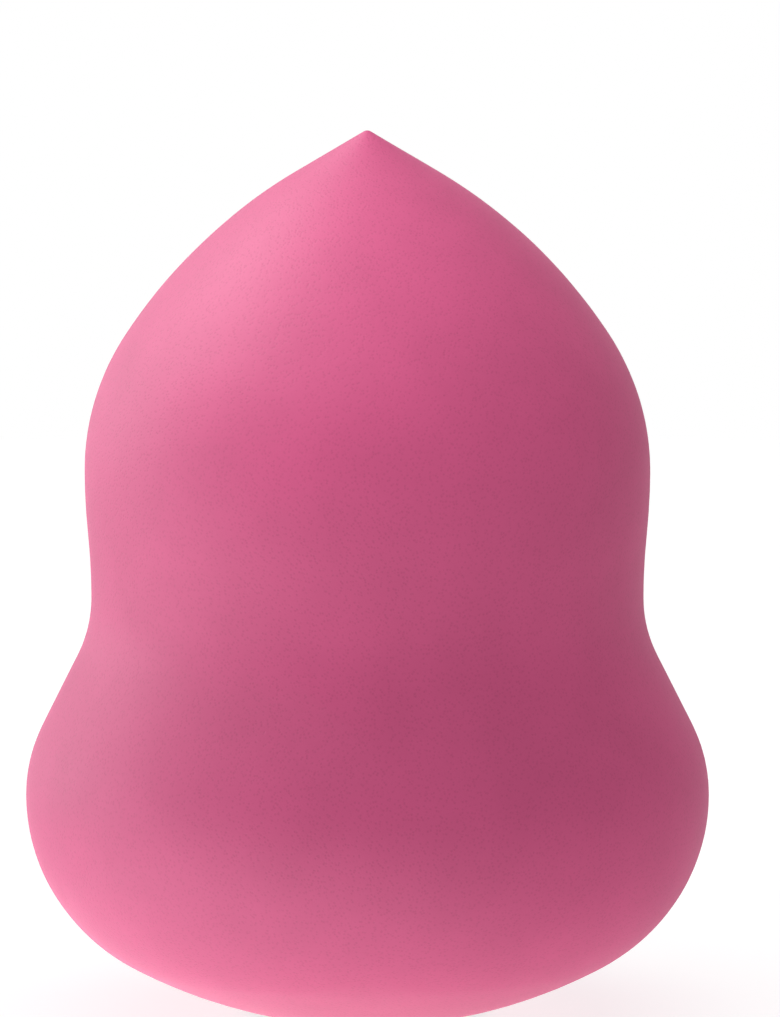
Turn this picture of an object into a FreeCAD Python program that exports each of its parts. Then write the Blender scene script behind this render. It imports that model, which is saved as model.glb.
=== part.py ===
import FreeCAD, Part
import math
import os

import Sketcher
from FreeCAD import Vector

# Makeup sponge of soft foam, cut in one piece: a round base that swells above a small flat foot,
# draws in to a shallow waist, and rises through a head to a pointed tip. It is round about +Z, and the
# origin is the middle of the foot, on the surface that the sponge stands on. Sizes are in millimetres.

NODE = "sponge_body"
FULL_TURN = "360 deg"

# Alias, value and meaning of each driving size
SIZES = [
    ("base_diameter", 45.0, "widest diameter, across the swell of the base"),
    ("base_height", 14.6, "widest level above the foot"),
    ("foot_diameter", 11.0, "flat that the sponge stands on"),
    ("corner_share", 0.85, "radius of the round under the widest level, as a share of base_height"),
    ("flare_step", 4.35, "how far the swell stands out beyond the waist, on each side"),
    ("waist_rise", 13.1, "waist above the widest level of the base"),
    ("swell_share", 0.33, "share of waist_rise that the round above the widest level takes"),
    ("hollow_share", 0.31, "share of waist_rise that the hollow under the waist takes"),
    ("waist_step", 0.42, "how far the head stands out beyond the waist, on each side"),
    ("head_rise", 8.4, "widest level of the head above the waist"),
    ("wall_share", 0.5, "share of head_rise below which the wall is hollow and above which it is full"),
    ("shoulder_radius", 16.1, "round of the shoulder above the widest level of the head"),
    ("flank_radius", 35.3, "long round from the shoulder up to the point"),
    ("point_length", 5.2, "straight side of the point, between the flank and the tip"),
    ("tip_rise", 22.5, "tip above the widest level of the head"),
    ("tip_radius", 0.45, "small round on the tip"),
]

# A sketch numbers the points of an edge from 1 up, and its own axes from -1 down: the upright one is the
# axis of the sponge, and the level one starts at the origin
START, END, CENTER = range(1, 4)
LEVEL_AXIS, UPRIGHT_AXIS = range(-1, -3, -1)
ORIGIN = (LEVEL_AXIS, START)


def make_sheet(doc):
    """Spreadsheet of the driving sizes, one row each: meaning, then value under its alias."""
    sheet = doc.addObject("Spreadsheet::Sheet", "Sizes")
    for row, (alias, value, meaning) in enumerate(SIZES, start=1):
        sheet.set(f"A{row}", meaning)
        sheet.set(f"B{row}", str(value))
        sheet.setAlias(f"B{row}", alias)
    doc.recompute()
    return sheet


def arc(center, start, end):
    """Sketch arc about center, counter-clockwise from the direction of start to that of end."""
    first = math.atan2(start.y - center.y, start.x - center.x)
    last = math.atan2(end.y - center.y, end.x - center.x)
    circle = Part.Circle(center, Vector(0, 0, 1), (start - center).Length)
    return Part.ArcOfCircle(circle, first, first + (last - first) % math.tau)


def point_on_ray(center, through, distance):
    """Point at distance from center in the direction of through."""
    return center + (through - center).normalize() * distance


def center_at(first, first_distance, second, second_distance):
    """Point at the two distances from two points, on the left of the way from first to second."""
    span = second - first
    along = (first_distance**2 - second_distance**2 + span.Length**2) / (2 * span.Length)
    aside = math.sqrt(first_distance**2 - along**2)
    forward = span / span.Length
    left = Vector(-forward.y, forward.x, 0)
    return first + forward * along + left * aside


def draw_base(size):
    """Foot, crown and corner: from the axis out along the foot and round to the widest level."""
    foot_edge = Vector(size("foot_diameter") / 2, 0, 0)
    widest = Vector(size("base_diameter") / 2, size("base_height"), 0)
    corner_radius = size("corner_share") * size("base_height")
    corner_center = widest - Vector(corner_radius, 0, 0)
    # The crown is part of a sphere about the axis, through the foot's edge and touching the corner's circle
    # inside, which makes the height of its middle the larger root of a quadratic
    square_term = widest.y**2 - corner_radius**2
    middle_term = corner_center.x**2 - foot_edge.x**2 + square_term
    root = math.sqrt(middle_term**2 + 4 * foot_edge.x**2 * square_term)
    crown_center = Vector(0, (widest.y * middle_term + corner_radius * root) / (2 * square_term), 0)
    crown_end = point_on_ray(crown_center, corner_center, (foot_edge - crown_center).Length)
    return {
        "foot": Part.LineSegment(Vector(0, 0, 0), foot_edge),
        "crown": arc(crown_center, foot_edge, crown_end),
        "corner": arc(corner_center, crown_end, widest),
    }


def draw_waist(size, widest, waist):
    """Swell, flare and hollow: from the widest level of the base in to the waist."""
    swell_height = size("swell_share") * size("waist_rise")
    hollow_height = size("hollow_share") * size("waist_rise")
    flare_height = size("waist_rise") - swell_height - hollow_height
    # Lean of the flare as first drawn, which the sketch's constraints then make exact
    lean = 2 * math.atan(size("flare_step") / (swell_height + hollow_height + 2 * flare_height))
    swell_center = widest - Vector(swell_height / math.sin(lean), 0, 0)
    hollow_center = waist + Vector(hollow_height / math.sin(lean), 0, 0)
    outward = Vector(math.cos(lean), math.sin(lean), 0)
    swell_end = swell_center + outward * (widest - swell_center).Length
    hollow_end = hollow_center - outward * (hollow_center - waist).Length
    return {
        "swell": arc(swell_center, widest, swell_end),
        "flare": Part.LineSegment(swell_end, hollow_end),
        "hollow": arc(hollow_center, waist, hollow_end),
    }


def draw_wall(size, waist, head):
    """Two arcs that lead from the waist out to the widest level of the head, hollow and then full."""
    turn = 2 * math.atan(size("waist_step") / size("head_rise"))
    radii = size("head_rise") / math.sin(turn)
    hollow_center = waist + Vector(radii * size("wall_share"), 0, 0)
    full_center = head - Vector(radii * (1 - size("wall_share")), 0, 0)
    meeting = point_on_ray(hollow_center, full_center, radii * size("wall_share"))
    return {
        "wall_low": arc(hollow_center, meeting, waist),
        "wall_high": arc(full_center, meeting, head),
    }


def draw_head(size, head):
    """Shoulder, flank, point and tip, and the axis back down to the foot."""
    top = Vector(0, head.y + size("tip_rise"), 0)
    shoulder_center = head - Vector(size("shoulder_radius"), 0, 0)
    tip_center = top - Vector(0, size("tip_radius"), 0)
    # The point is square to the radii at both its ends, so it is one leg of a right triangle whose long
    # side runs from the flank's middle to the tip's
    radius_step = size("flank_radius") - size("tip_radius")
    flank_center = center_at(
        shoulder_center, size("flank_radius") - size("shoulder_radius"),
        tip_center, math.hypot(radius_step, size("point_length")),
    )
    shoulder_end = point_on_ray(flank_center, shoulder_center, size("flank_radius"))
    to_tip = tip_center - flank_center
    lean = math.atan2(to_tip.y, to_tip.x) - math.atan2(size("point_length"), radius_step)
    outward = Vector(math.cos(lean), math.sin(lean), 0)
    flank_end = flank_center + outward * size("flank_radius")
    point_end = tip_center + outward * size("tip_radius")
    return {
        "shoulder": arc(shoulder_center, head, shoulder_end),
        "flank": arc(flank_center, shoulder_end, flank_end),
        "point": Part.LineSegment(flank_end, point_end),
        "tip": arc(tip_center, point_end, top),
        "axis": Part.LineSegment(top, Vector(0, 0, 0)),
    }


def draw_profile(sketch, sheet):
    """Half section of the sponge, drawn near its final shape, then constrained and bound to the sheet."""

    def size(alias):
        return float(getattr(sheet, alias))

    widest = Vector(size("base_diameter") / 2, size("base_height"), 0)
    waist = widest + Vector(-size("flare_step"), size("waist_rise"), 0)
    head = waist + Vector(size("waist_step"), size("head_rise"), 0)
    pieces = draw_base(size)
    pieces.update(draw_waist(size, widest, waist))
    pieces.update(draw_wall(size, waist, head))
    pieces.update(draw_head(size, head))
    edge = {name: sketch.addGeometry(geometry, False) for name, geometry in pieces.items()}

    shape_rules = [
        ("Coincident", edge["foot"], START, *ORIGIN),
        ("Horizontal", edge["foot"]),
        ("Coincident", edge["foot"], END, edge["crown"], START),
        ("PointOnObject", edge["crown"], CENTER, UPRIGHT_AXIS),
        ("Tangent", edge["crown"], END, edge["corner"], START),
        ("Horizontal", edge["corner"], CENTER, edge["corner"], END),
        ("Tangent", edge["corner"], END, edge["swell"], START),
        ("Tangent", edge["swell"], END, edge["flare"], START),
        ("Tangent", edge["flare"], END, edge["hollow"], END),
        ("Horizontal", edge["hollow"], CENTER, edge["hollow"], START),
        ("Tangent", edge["hollow"], START, edge["wall_low"], END),
        ("Tangent", edge["wall_low"], START, edge["wall_high"], START),
        ("Horizontal", edge["wall_high"], CENTER, edge["wall_high"], END),
        ("Tangent", edge["wall_high"], END, edge["shoulder"], START),
        ("Tangent", edge["shoulder"], END, edge["flank"], START),
        ("Tangent", edge["flank"], END, edge["point"], START),
        ("Tangent", edge["point"], END, edge["tip"], START),
        ("PointOnObject", edge["tip"], CENTER, UPRIGHT_AXIS),
        ("Coincident", edge["tip"], END, edge["axis"], START),
        ("Vertical", edge["axis"]),
        ("Coincident", edge["axis"], END, *ORIGIN),
    ]
    # Name, kind, what it measures, and the sheet's rule for it
    dimension_rules = [
        ("foot_reach", "DistanceX", (edge["foot"], START, edge["foot"], END), "Sizes.foot_diameter / 2"),
        ("base_reach", "DistanceX", (*ORIGIN, edge["corner"], END), "Sizes.base_diameter / 2"),
        ("base_level", "DistanceY", (*ORIGIN, edge["corner"], END), "Sizes.base_height"),
        ("corner_round", "Radius", (edge["corner"],), "Sizes.corner_share * Sizes.base_height"),
        ("flare_reach", "DistanceX", (edge["hollow"], START, edge["corner"], END), "Sizes.flare_step"),
        ("waist_level", "DistanceY", (edge["corner"], END, edge["hollow"], START), "Sizes.waist_rise"),
        ("swell_level", "DistanceY", (edge["swell"], START, edge["swell"], END),
         "Sizes.swell_share * Sizes.waist_rise"),
        ("hollow_level", "DistanceY", (edge["hollow"], END, edge["hollow"], START),
         "Sizes.hollow_share * Sizes.waist_rise"),
        ("head_reach", "DistanceX", (edge["hollow"], START, edge["wall_high"], END), "Sizes.waist_step"),
        ("head_level", "DistanceY", (edge["hollow"], START, edge["wall_high"], END), "Sizes.head_rise"),
        ("wall_level", "DistanceY", (edge["wall_low"], END, edge["wall_low"], START),
         "Sizes.wall_share * Sizes.head_rise"),
        ("shoulder_round", "Radius", (edge["shoulder"],), "Sizes.shoulder_radius"),
        ("flank_round", "Radius", (edge["flank"],), "Sizes.flank_radius"),
        ("point_side", "Distance", (edge["point"],), "Sizes.point_length"),
        ("tip_level", "DistanceY", (edge["wall_high"], END, edge["axis"], START), "Sizes.tip_rise"),
        ("tip_round", "Radius", (edge["tip"],), "Sizes.tip_radius"),
    ]
    constraints = [Sketcher.Constraint(*rule) for rule in shape_rules]
    for name, kind, where, rule in dimension_rules:
        constraint = Sketcher.Constraint(kind, *where, float(sketch.evalExpression(rule)))
        constraint.Name = name
        constraints.append(constraint)
    sketch.addConstraint(constraints)
    for name, _, _, rule in dimension_rules:
        sketch.setExpression(f"Constraints.{name}", rule)


def make_sponge(doc, sheet):
    """The whole sponge: its half section turned once round the upright axis."""
    body = doc.addObject("PartDesign::Body", NODE)
    body.Label = NODE
    upright_plane = next(plane for plane in body.Origin.OriginFeatures if plane.Role == "XZ_Plane")
    sketch = body.newObject("Sketcher::SketchObject", "half_section")
    sketch.AttachmentSupport = [(upright_plane, "")]
    sketch.MapMode = "FlatFace"
    draw_profile(sketch, sheet)
    doc.recompute()
    form = body.newObject("PartDesign::Revolution", "turned_form")
    form.Profile = sketch
    form.ReferenceAxis = (sketch, ["V_Axis"])
    form.Angle = FULL_TURN
    doc.recompute()
    return body, sketch


def check(doc, body, sketch):
    """Stop unless every object was recomputed cleanly, the section is fully set and the solid is sound."""
    for item in doc.Objects:
        if "Invalid" in item.State or "Error" in item.State:
            raise RuntimeError(f"{item.Label} failed: {item.State}")
    faults = sketch.ConflictingConstraints or sketch.RedundantConstraints
    if sketch.solve() or faults or not sketch.FullyConstrained:
        raise RuntimeError("the half section is not set by its sizes alone")
    shape = body.Shape
    if shape.isNull() or not shape.isValid() or len(shape.Solids) != 1:
        raise RuntimeError(f"{body.Label} is not one sound solid")


def main():
    doc = FreeCAD.newDocument("makeup_sponge")
    sheet = make_sheet(doc)
    body, sketch = make_sponge(doc, sheet)
    check(doc, body, sketch)
    os.makedirs("parts", exist_ok=True)
    body.Shape.exportStep(os.path.join("parts", f"{body.Label}.step"))
    box = body.Shape.optimalBoundingBox(False, False)
    print(f"{body.Label}: {box.XLength:.2f} x {box.YLength:.2f} x {box.ZLength:.2f} mm, "
          f"volume {body.Shape.Volume:.0f} mm3, area {body.Shape.Area:.0f} mm2")


main()
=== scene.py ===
import math

import bmesh
import bpy
import numpy as np
from bpy.props import FloatProperty, FloatVectorProperty, IntProperty, PointerProperty
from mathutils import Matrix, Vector


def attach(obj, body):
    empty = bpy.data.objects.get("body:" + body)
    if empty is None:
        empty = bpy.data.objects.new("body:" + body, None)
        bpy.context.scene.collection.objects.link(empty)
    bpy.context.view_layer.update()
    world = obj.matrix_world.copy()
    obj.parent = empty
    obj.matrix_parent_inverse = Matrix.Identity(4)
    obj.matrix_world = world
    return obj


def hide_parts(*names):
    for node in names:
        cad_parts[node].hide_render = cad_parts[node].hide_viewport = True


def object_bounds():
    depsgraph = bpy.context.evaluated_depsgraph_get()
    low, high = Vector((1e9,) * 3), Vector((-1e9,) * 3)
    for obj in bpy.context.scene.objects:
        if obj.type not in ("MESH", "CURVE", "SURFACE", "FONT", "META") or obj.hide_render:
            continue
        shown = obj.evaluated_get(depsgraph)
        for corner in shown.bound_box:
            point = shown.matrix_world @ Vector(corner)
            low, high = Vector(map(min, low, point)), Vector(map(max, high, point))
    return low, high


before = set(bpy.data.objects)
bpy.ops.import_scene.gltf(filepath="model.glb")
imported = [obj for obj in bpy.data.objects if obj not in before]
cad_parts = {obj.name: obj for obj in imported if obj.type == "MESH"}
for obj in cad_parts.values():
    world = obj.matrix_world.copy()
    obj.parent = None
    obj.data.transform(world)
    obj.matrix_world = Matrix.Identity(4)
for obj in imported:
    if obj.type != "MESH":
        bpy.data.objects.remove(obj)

bl_info = {
    "name": "Makeup Sponge",
    "version": (1, 0, 0),
    "blender": (4, 5, 0),
    "location": "3D View > Sidebar > Sponge",
    "description": "Models a foam makeup sponge on its CAD frame, and the white stage that it stands on",
    "category": "Object",
}

# The CAD model's own box, before anything is dressed
CAD_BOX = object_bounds()

NODE = "sponge_body"
MILLIMETRE = 0.001

# The photograph's size in pixels, and where the sponge lies in it
PHOTO_WIDTH, PHOTO_HEIGHT = 780, 1017
PHOTO_BASE_WIDTH = 685
PHOTO_AXIS_COLUMN = 367.4
PHOTO_FOOT_ROW = 1013

# Corners of the CAD mesh nearer in height than this are at one level
LEVEL_STEP = 0.001 * MILLIMETRE
# How much closer the body's rings stand towards the foot's edge and the tip: 1 is evenly spaced
RING_EASE = 1.5
# A point nearer to the axis than this is on it, and one lower than this may be on the foot
LEAST_RADIUS = 0.01 * MILLIMETRE
FOOT_SEARCH = 1 * MILLIMETRE

# Distance from a cell's middle at which its wall stands full, as a share of the pore size
WALL_SHARE = 0.5
# What the walls add to the tone beside the dye's clouds, a painted shade that darkens the pits between
# them, and the grain to the relief, beside the walls
PIT_SHADE_SHARE = 0.35
GRAIN_RELIEF_SHARE = 0.3
# Tones at which the dye's clouds and the pits' painted shade make the colour deepest and palest, and how
# light it is there
DEEP_TONE, PALE_TONE = 0.25, 0.75
DEEP_SHARE, PALE_SHARE = 0.90, 1.06
# Roughness of the shine from the grain's hollows to its tops, and of the bloom
LEAST_ROUGHNESS, MOST_ROUGHNESS = 0.58, 0.74
BLOOM_ROUGHNESS = 0.5
# Levels of ever finer noise in the clouds and the grain
CLOUD_DETAIL, GRAIN_DETAIL = 3.0, 2.0

# Side that each lamp stands on, as azimuth and elevation in degrees, seen from the sponge: azimuth 0 is
# in front and 90 on the right
OVERHEAD_SIDE = (-90, 82)
LEFT_SIDE = (-70, 12)
LEFT_SHINE_SIDE = (-112, 14)
HEAD_SPOT_SIDE = (-20, 38)
HEAD_SHINE_SIDE = (-112, 46)
# Distances of the lamps in metres, and widths and depths of the flat ones
OVERHEAD_DISTANCE = 0.45
LEFT_DISTANCE = 0.5
SPOT_DISTANCE = 0.45
OVERHEAD_SIZE = (0.9, 0.9)
LEFT_SIZE = (0.5, 0.3)
LEFT_SHINE_SIZE = (0.4, 0.3)
TABLE_SIZE = (0.5, 0.5)
LOW_SHINE_SIZE = (0.17, 0.08)
# Lamps on the floor lie just clear of it, the light table round the sponge and the other on its left
FLOOR_LAMP_HEIGHT = 0.5 * MILLIMETRE
TABLE_PLACE = (0, 0)
LOW_SHINE_PLACE = (-0.055, -0.010)
# The spots aim near the tip, with a narrow cone that is soft all over
SPOT_AIM_HEIGHT = 54 * MILLIMETRE
SPOT_CONE = math.radians(9)
SPOT_SOFT_SHARE = 1.0
SPOT_RADIUS = 10 * MILLIMETRE

# The floor is white paper to the light, and to the camera a glow that shadows still darken
FLOOR_SIDES = 96
PAPER_GREY = (0.85, 0.85, 0.85, 1)
SEEN_GREY = (0.33, 0.33, 0.33, 1)
SEEN_GLOW = 0.80
WHITE = (1, 1, 1, 1)


class SpongeForm(bpy.types.PropertyGroup):
    """Mesh of the foam body."""

    columns: IntProperty(
        name="Columns", description="Columns of faces round the body before it is smoothed",
        default=96, min=8)
    rings: IntProperty(
        name="Rings", description="Rings of faces from the foot to the tip before it is smoothed",
        default=56, min=8)
    foot_rings: IntProperty(
        name="Foot rings", description="Rings of faces across the foot before it is smoothed",
        default=6, min=2)
    smoothing: IntProperty(
        name="Smoothing", description="Subdivision levels", default=2, min=0, max=3)
    unevenness: FloatProperty(
        name="Unevenness", description="Height of the shallow waves that grinding leaves in the foam",
        default=0.05 * MILLIMETRE, unit="LENGTH")
    wave_span: FloatProperty(
        name="Wave span", description="Size of those waves", default=7 * MILLIMETRE, unit="LENGTH")
    fullness: FloatProperty(
        name="Fullness", description="How full and tight the foam is", default=1.0, min=0.0, max=1.0,
        subtype="FACTOR")


class FoamFinish(bpy.types.PropertyGroup):
    """Colour and grain of the foam."""

    color: FloatVectorProperty(
        name="Foam", description="Dyed colour of the foam", default=(0.60, 0.089, 0.224),
        subtype="COLOR", min=0.0, max=1.0)
    cloud_span: FloatProperty(
        name="Cloud span", description="Size of the faint clouds in the dye",
        default=6 * MILLIMETRE, unit="LENGTH")
    pore_size: FloatProperty(
        name="Pore size", description="Distance from one cell of the foam to the next",
        default=0.24 * MILLIMETRE, unit="LENGTH")
    pore_depth: FloatProperty(
        name="Pore depth", description="Depth of the open cells", default=0.018 * MILLIMETRE, unit="LENGTH")
    grain_size: FloatProperty(
        name="Grain size", description="Size of the finest roughness of the cell walls",
        default=0.09 * MILLIMETRE, unit="LENGTH")
    bloom: FloatProperty(
        name="Bloom", description="Weight of the pale bloom of the foam's fine broken cell walls",
        default=0.04, min=0.0, max=1.0, subtype="FACTOR")
    gloss: FloatProperty(
        name="Gloss", description="Level of the foam's soft shine", default=0.18, min=0.0, max=1.0,
        subtype="FACTOR")


class StageSettings(bpy.types.PropertyGroup):
    """Camera, floor and lamps."""

    camera_distance: FloatProperty(
        name="Camera distance", description="From the sponge to the camera", default=1.0, unit="LENGTH")
    camera_elevation: FloatProperty(
        name="Camera elevation", description="Angle of the camera above the level",
        default=math.radians(9), subtype="ANGLE")
    floor_radius: FloatProperty(
        name="Floor radius", description="Radius of the round floor", default=0.25, unit="LENGTH")
    fill: FloatProperty(
        name="Fill", description="Level of the even light from all round", default=0.04, min=0.0)
    overhead_power: FloatProperty(
        name="Overhead", description="Power of the wide softbox overhead", default=3.25, unit="POWER")
    left_power: FloatProperty(
        name="Left", description="Power of the softbox on the left", default=0.58, unit="POWER")
    table_power: FloatProperty(
        name="Light table", description="Power of the light table under the sponge",
        default=0.39, unit="POWER")
    head_spot_power: FloatProperty(
        name="Head spot", description="Power of the spot on the head", default=3.4, unit="POWER")
    left_shine_power: FloatProperty(
        name="Left shine", description="Power of the softbox on the left that only the foam's shine shows",
        default=3.8, unit="POWER")
    low_shine_power: FloatProperty(
        name="Low shine", description="Power of the floor lamp that only the foam's shine shows",
        default=1.0, unit="POWER")
    head_shine_power: FloatProperty(
        name="Head shine", description="Power of the spot on the head that only the foam's shine shows",
        default=20.0, unit="POWER")


def empty_tree(owner):
    """Node tree of a material or world, with its nodes cleared away."""
    owner.use_nodes = True
    owner.node_tree.nodes.clear()
    return owner.node_tree


def add_node(tree, kind, **values):
    """New shader node with the given properties, and its unlinked inputs set by name."""
    node = tree.nodes.new(kind)
    for name, value in values.items():
        if name in node.inputs:
            node.inputs[name].default_value = value
        else:
            setattr(node, name, value)
    return node


def read_profile(node):
    """Radius and height of points up the turned solid's half section, from the foot's edge to the tip."""
    corners = np.array([vertex.co for vertex in node.data.vertices])
    radii = np.hypot(corners[:, 0], corners[:, 1])
    order = np.lexsort((-radii, corners[:, 2]))
    radii, heights = radii[order], corners[order, 2]
    first_at_level = np.concatenate(([True], np.diff(heights) > LEVEL_STEP))
    return radii[first_at_level], heights[first_at_level]


def eased_shares(count):
    """Shares from 0 to 1 in count steps that shorten towards 1."""
    return 1 - np.linspace(1, 0, count + 1) ** RING_EASE


def section_rings(profile, form):
    """Radius and height of rings from the middle of the foot out to its edge, and on up to the tip."""
    radii, heights = profile
    foot = [(radii[0] * share, heights[0]) for share in eased_shares(form.foot_rings)[:-1]]
    travel = np.concatenate(([0], np.cumsum(np.hypot(np.diff(radii), np.diff(heights)))))
    stops = travel[-1] * eased_shares(form.rings)
    return [*foot, *zip(np.interp(stops, travel, radii), np.interp(stops, travel, heights))]


def build_body(rings, columns):
    """Closed body on the given rings, of which the first and the last are points on the axis."""
    shell = bmesh.new()
    turns = np.linspace(0, math.tau, columns, endpoint=False)
    foot_middle = shell.verts.new((0, 0, rings[0][1]))
    loops = [
        [shell.verts.new((radius * math.cos(turn), radius * math.sin(turn), height)) for turn in turns]
        for radius, height in rings[1:-1]]
    tip = shell.verts.new((0, 0, rings[-1][1]))
    for column in range(columns):
        after = (column + 1) % columns
        shell.faces.new((foot_middle, loops[0][after], loops[0][column]))
        for lower, upper in zip(loops, loops[1:]):
            shell.faces.new((lower[column], lower[after], upper[after], upper[column]))
        shell.faces.new((loops[-1][column], loops[-1][after], tip))
    for face in shell.faces:
        face.smooth = True
    mesh = bpy.data.meshes.new("foam_body")
    shell.to_mesh(mesh)
    shell.free()
    body = bpy.data.objects.new("foam_body", mesh)
    bpy.context.collection.objects.link(body)
    bpy.context.view_layer.objects.active = body
    return body


def settle_on_profile(body, profile):
    """Bring vertices that smoothing drew in back out to the half section, and the foot's to the floor."""
    radii, heights = profile
    for vertex in body.data.vertices:
        reach = math.hypot(vertex.co.x, vertex.co.y)
        if vertex.co.z < FOOT_SEARCH and reach <= radii[0]:
            vertex.co.z = 0
        elif reach < LEAST_RADIUS:
            vertex.co.z = heights[-1]
        else:
            share = np.interp(vertex.co.z, heights, radii) / reach
            vertex.co.x *= share
            vertex.co.y *= share


def ripple(body, form):
    """Give the body the shallow waves of ground foam, with its foot left flat."""
    waves = bpy.data.textures.new("ground waves", "CLOUDS")
    waves.noise_scale = form.wave_span
    above_foot = body.vertex_groups.new(name="above foot")
    wavy = [vertex.index for vertex in body.data.vertices if vertex.co.z > FOOT_SEARCH]
    above_foot.add(wavy, 1.0, "REPLACE")
    modifier = body.modifiers.new("ground waves", "DISPLACE")
    modifier.texture = waves
    modifier.texture_coords = "LOCAL"
    modifier.vertex_group = above_foot.name
    modifier.strength = form.unevenness
    bpy.ops.object.modifier_apply(modifier=modifier.name)


def foam_textures(tree, finish):
    """Outputs of the three textures of the foam: clouds in its dye, walls between its pits, and grain."""
    place = add_node(tree, "ShaderNodeTexCoord").outputs["Object"]
    clouds = add_node(tree, "ShaderNodeTexNoise", Scale=1 / finish.cloud_span, Detail=CLOUD_DETAIL)
    cells = add_node(tree, "ShaderNodeTexVoronoi", Scale=1 / finish.pore_size)
    grain = add_node(tree, "ShaderNodeTexNoise", Scale=1 / finish.grain_size, Detail=GRAIN_DETAIL)
    for texture in (clouds, cells, grain):
        tree.links.new(place, texture.inputs["Vector"])
    walls = add_node(
        tree, "ShaderNodeMapRange", interpolation_type="SMOOTHSTEP", **{"From Max": WALL_SHARE})
    tree.links.new(cells.outputs["Distance"], walls.inputs["Value"])
    return clouds.outputs[0], walls.outputs["Result"], grain.outputs[0]


def mix_levels(tree, first, second, second_share):
    """Output of a blend of two levels, in which the second has the given share."""
    blend = add_node(tree, "ShaderNodeMix", Factor=second_share)
    tree.links.new(first, blend.inputs["A"])
    tree.links.new(second, blend.inputs["B"])
    return blend.outputs["Result"]


def shade(color, share):
    """Colour with its light scaled, as a socket's four parts."""
    return (*(part * share for part in color), 1)


def foam_material(finish):
    """Dense fine-celled foam: even dye with faint clouds, tiny open pores darkened with painted shade, and
    a soft shine.
    """
    material = bpy.data.materials.new("pink foam")
    tree = empty_tree(material)
    output = add_node(tree, "ShaderNodeOutputMaterial")
    foam = add_node(tree, "ShaderNodeBsdfPrincipled", **{
        "Specular IOR Level": finish.gloss,
        "Sheen Weight": finish.bloom,
        "Sheen Roughness": BLOOM_ROUGHNESS,
    })
    clouds, walls, grain = foam_textures(tree, finish)

    # The dye's clouds, and painted shade in the pits between the walls, together set how light the colour
    # is
    dye = add_node(tree, "ShaderNodeValToRGB")
    deep, pale = dye.color_ramp.elements
    deep.position, pale.position = DEEP_TONE, PALE_TONE
    deep.color, pale.color = shade(finish.color, DEEP_SHARE), shade(finish.color, PALE_SHARE)
    tree.links.new(mix_levels(tree, clouds, walls, PIT_SHADE_SHARE), dye.inputs["Fac"])
    tree.links.new(dye.outputs["Color"], foam.inputs["Base Color"])

    # The finest grain scatters the shine
    rough = add_node(tree, "ShaderNodeMapRange", **{"To Min": LEAST_ROUGHNESS, "To Max": MOST_ROUGHNESS})
    tree.links.new(grain, rough.inputs["Value"])
    tree.links.new(rough.outputs["Result"], foam.inputs["Roughness"])

    # Walls and grain stand up from the pores
    relief = add_node(tree, "ShaderNodeBump", Distance=finish.pore_depth)
    tree.links.new(mix_levels(tree, walls, grain, GRAIN_RELIEF_SHARE), relief.inputs["Height"])
    tree.links.new(relief.outputs["Normal"], foam.inputs["Normal"])
    tree.links.new(foam.outputs["BSDF"], output.inputs["Surface"])
    return material


class SPONGE_OT_body(bpy.types.Operator):
    """Model the foam body on its CAD node and give it its finish"""

    bl_idname = "sponge.body"
    bl_label = "Foam body"
    bl_options = {"REGISTER", "UNDO"}

    def execute(self, context):
        form, finish = context.scene.sponge_form, context.scene.sponge_finish
        profile = read_profile(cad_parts[NODE])
        body = build_body(section_rings(profile, form), form.columns)
        smooth = body.modifiers.new("smooth foam", "SUBSURF")
        smooth.levels = smooth.render_levels = form.smoothing
        bpy.ops.object.modifier_apply(modifier=smooth.name)
        settle_on_profile(body, profile)
        ripple(body, form)
        body.data.materials.append(foam_material(finish))
        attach(body, "root")
        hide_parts(NODE)
        return {"FINISHED"}


def direction(azimuth, elevation):
    """Unit vector from the sponge to a side: azimuth 0 is in front and a quarter turn is on the right."""
    return Vector((
        math.sin(azimuth) * math.cos(elevation), -math.cos(azimuth) * math.cos(elevation),
        math.sin(elevation)))


def aim(item, facing):
    """Turn a lamp or camera so that it looks along facing."""
    item.rotation_euler = facing.to_track_quat("-Z", "Y").to_euler()


def add_lamp(kind, name, place, facing, power):
    """Lamp at place that shines along facing, unseen by the camera."""
    bpy.ops.object.light_add(type=kind, location=place)
    lamp = bpy.context.object
    lamp.name = lamp.data.name = name
    lamp.data.energy = power
    lamp.visible_camera = False
    aim(lamp, facing)
    return lamp


def add_flat_lamp(name, place, facing, size, power):
    """Rectangular lamp at place that shines along facing."""
    lamp = add_lamp("AREA", name, place, facing, power)
    lamp.data.shape = "RECTANGLE"
    lamp.data.size, lamp.data.size_y = size
    return lamp


def add_softbox(name, side, distance, size, power):
    """Flat lamp on the given side that faces the sponge's middle."""
    low, high = CAD_BOX
    back = direction(*map(math.radians, side))
    return add_flat_lamp(name, (low + high) / 2 + back * distance, -back, size, power)


def add_floor_lamp(name, place, size, power):
    """Flat lamp on the floor that shines up."""
    return add_flat_lamp(name, (*place, FLOOR_LAMP_HEIGHT), Vector((0, 0, 1)), size, power)


def add_head_spot(name, side, power):
    """Narrow lamp with a soft edge that lights the sponge's head alone."""
    back = direction(*map(math.radians, side))
    spot = add_lamp("SPOT", name, Vector((0, 0, SPOT_AIM_HEIGHT)) + back * SPOT_DISTANCE, -back, power)
    spot.data.spot_size = SPOT_CONE
    spot.data.spot_blend = SPOT_SOFT_SHARE
    spot.data.shadow_soft_size = SPOT_RADIUS
    return spot


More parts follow.
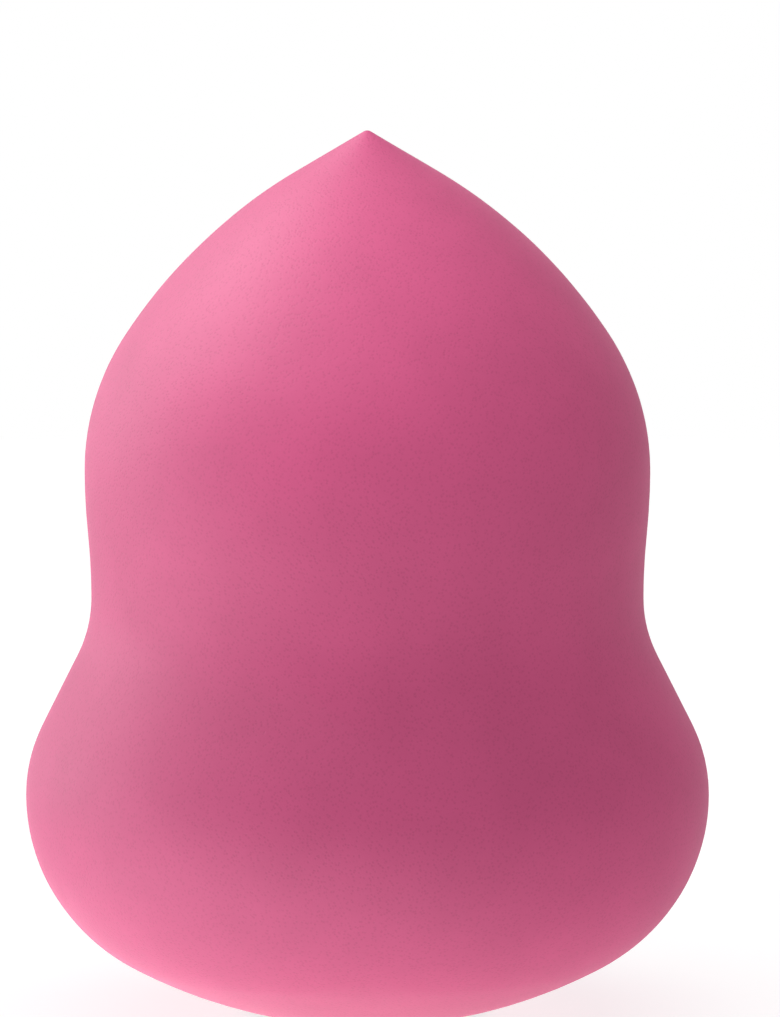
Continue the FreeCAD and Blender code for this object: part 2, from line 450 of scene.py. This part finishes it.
def fade_across(lamp):
    """Let a floor lamp's light fade from its front left corner to nothing at its right and its back."""
    lamp.data.use_nodes = True
    tree = lamp.data.node_tree
    place = add_node(tree, "ShaderNodeNewGeometry")
    across = add_node(tree, "ShaderNodeSeparateXYZ")
    from_back = add_node(tree, "ShaderNodeMath", operation="SUBTRACT", Value=1)
    fade = add_node(tree, "ShaderNodeMath", operation="MULTIPLY")
    tree.links.new(place.outputs["Parametric"], across.inputs[0])
    tree.links.new(across.outputs["X"], fade.inputs[0])
    tree.links.new(across.outputs["Y"], from_back.inputs[1])
    tree.links.new(from_back.outputs[0], fade.inputs[1])
    tree.links.new(fade.outputs[0], tree.nodes["Emission"].inputs["Strength"])


def show_apart(tree, output, lighting, seen):
    """Light the scene with one shader, and show another to the camera, also in gloss and through glass."""
    light_path = add_node(tree, "ShaderNodeLightPath")
    camera_or_gloss = add_node(tree, "ShaderNodeMath", operation="MAXIMUM")
    any_view = add_node(tree, "ShaderNodeMath", operation="MAXIMUM")
    pick = add_node(tree, "ShaderNodeMixShader")
    tree.links.new(light_path.outputs["Is Camera Ray"], camera_or_gloss.inputs[0])
    tree.links.new(light_path.outputs["Is Glossy Ray"], camera_or_gloss.inputs[1])
    tree.links.new(camera_or_gloss.outputs[0], any_view.inputs[0])
    tree.links.new(light_path.outputs["Is Transmission Ray"], any_view.inputs[1])
    tree.links.new(any_view.outputs[0], pick.inputs[0])
    tree.links.new(lighting.outputs[0], pick.inputs[1])
    tree.links.new(seen.outputs[0], pick.inputs[2])
    tree.links.new(pick.outputs[0], output.inputs["Surface"])


def floor_material():
    """White paper that the camera sees as a white glow with the sponge's shadow on it."""
    material = bpy.data.materials.new("white floor")
    tree = empty_tree(material)
    output = add_node(tree, "ShaderNodeOutputMaterial")
    paper = add_node(tree, "ShaderNodeBsdfDiffuse", Color=PAPER_GREY)
    shadowed = add_node(tree, "ShaderNodeBsdfDiffuse", Color=SEEN_GREY)
    glow = add_node(tree, "ShaderNodeEmission", Strength=SEEN_GLOW)
    seen = add_node(tree, "ShaderNodeAddShader")
    tree.links.new(shadowed.outputs[0], seen.inputs[0])
    tree.links.new(glow.outputs[0], seen.inputs[1])
    show_apart(tree, output, paper, seen)
    return material


class SPONGE_OT_stage(bpy.types.Operator):
    """Set up the white floor, the soft lamps and the camera"""

    bl_idname = "sponge.stage"
    bl_label = "Stage"
    bl_options = {"REGISTER", "UNDO"}

    def execute(self, context):
        stage = context.scene.sponge_stage
        context.scene.view_settings.view_transform = "Standard"
        self.make_world(context, stage)
        self.make_floor(stage)
        self.make_lamps(stage)
        self.make_camera(context, stage)
        return {"FINISHED"}

    def make_world(self, context, stage):
        world = bpy.data.worlds.new("white studio")
        tree = empty_tree(world)
        output = add_node(tree, "ShaderNodeOutputWorld")
        seen = add_node(tree, "ShaderNodeBackground", Color=WHITE, Strength=1.0)
        fill = add_node(tree, "ShaderNodeBackground", Color=WHITE, Strength=stage.fill)
        show_apart(tree, output, fill, seen)
        context.scene.world = world

    def make_floor(self, stage):
        bpy.ops.mesh.primitive_circle_add(vertices=FLOOR_SIDES, radius=stage.floor_radius, fill_type="NGON")
        floor = bpy.context.object
        floor.name = floor.data.name = "floor"
        floor.data.materials.append(floor_material())

    def make_lamps(self, stage):
        add_softbox("overhead", OVERHEAD_SIDE, OVERHEAD_DISTANCE, OVERHEAD_SIZE, stage.overhead_power)
        add_softbox("left", LEFT_SIDE, LEFT_DISTANCE, LEFT_SIZE, stage.left_power)
        table = add_floor_lamp("light table", TABLE_PLACE, TABLE_SIZE, stage.table_power)
        table.visible_glossy = False
        left_shine = add_softbox(
            "left shine", LEFT_SHINE_SIDE, LEFT_DISTANCE, LEFT_SHINE_SIZE, stage.left_shine_power)
        low_shine = add_floor_lamp("low shine", LOW_SHINE_PLACE, LOW_SHINE_SIZE, stage.low_shine_power)
        fade_across(low_shine)
        add_head_spot("head spot", HEAD_SPOT_SIDE, stage.head_spot_power)
        head_shine = add_head_spot("head shine", HEAD_SHINE_SIDE, stage.head_shine_power)
        for lamp in (left_shine, low_shine, head_shine):
            lamp.visible_diffuse = False

    def make_camera(self, context, stage):
        low, high = CAD_BOX
        pixel = (high.x - low.x) / PHOTO_BASE_WIDTH
        elevation = stage.camera_elevation
        target = Vector((
            (PHOTO_WIDTH / 2 - PHOTO_AXIS_COLUMN) * pixel, 0,
            (PHOTO_FOOT_ROW - PHOTO_HEIGHT / 2) * pixel / math.cos(elevation)))
        back = direction(0, elevation)
        bpy.ops.object.camera_add(location=target + back * stage.camera_distance)
        camera = bpy.context.object
        camera.name = camera.data.name = "camera"
        aim(camera, -back)
        camera.data.lens = camera.data.sensor_width * stage.camera_distance / (PHOTO_HEIGHT * pixel)
        context.scene.camera = camera


class SPONGE_PT_sidebar(bpy.types.Panel):
    """Sizes, colours and operators of the makeup sponge"""

    bl_idname = "SPONGE_PT_sidebar"
    bl_label = "Makeup Sponge"
    bl_space_type = "VIEW_3D"
    bl_region_type = "UI"
    bl_category = "Sponge"

    def draw(self, context):
        for group in SETTINGS:
            settings = getattr(context.scene, group)
            column = self.layout.column()
            for name in settings.__annotations__:
                column.prop(settings, name)
        self.layout.operator(SPONGE_OT_body.bl_idname)
        self.layout.operator(SPONGE_OT_stage.bl_idname)


CLASSES = (SpongeForm, FoamFinish, StageSettings, SPONGE_OT_body, SPONGE_OT_stage, SPONGE_PT_sidebar)
SETTINGS = {"sponge_form": SpongeForm, "sponge_finish": FoamFinish, "sponge_stage": StageSettings}


def register():
    for cls in CLASSES:
        bpy.utils.register_class(cls)
    for name, group in SETTINGS.items():
        setattr(bpy.types.Scene, name, PointerProperty(type=group))


def unregister():
    for name in SETTINGS:
        delattr(bpy.types.Scene, name)
    for cls in reversed(CLASSES):
        bpy.utils.unregister_class(cls)


def main():
    register()
    bpy.ops.sponge.body()
    bpy.ops.sponge.stage()


if __name__ == "__main__":
    main()
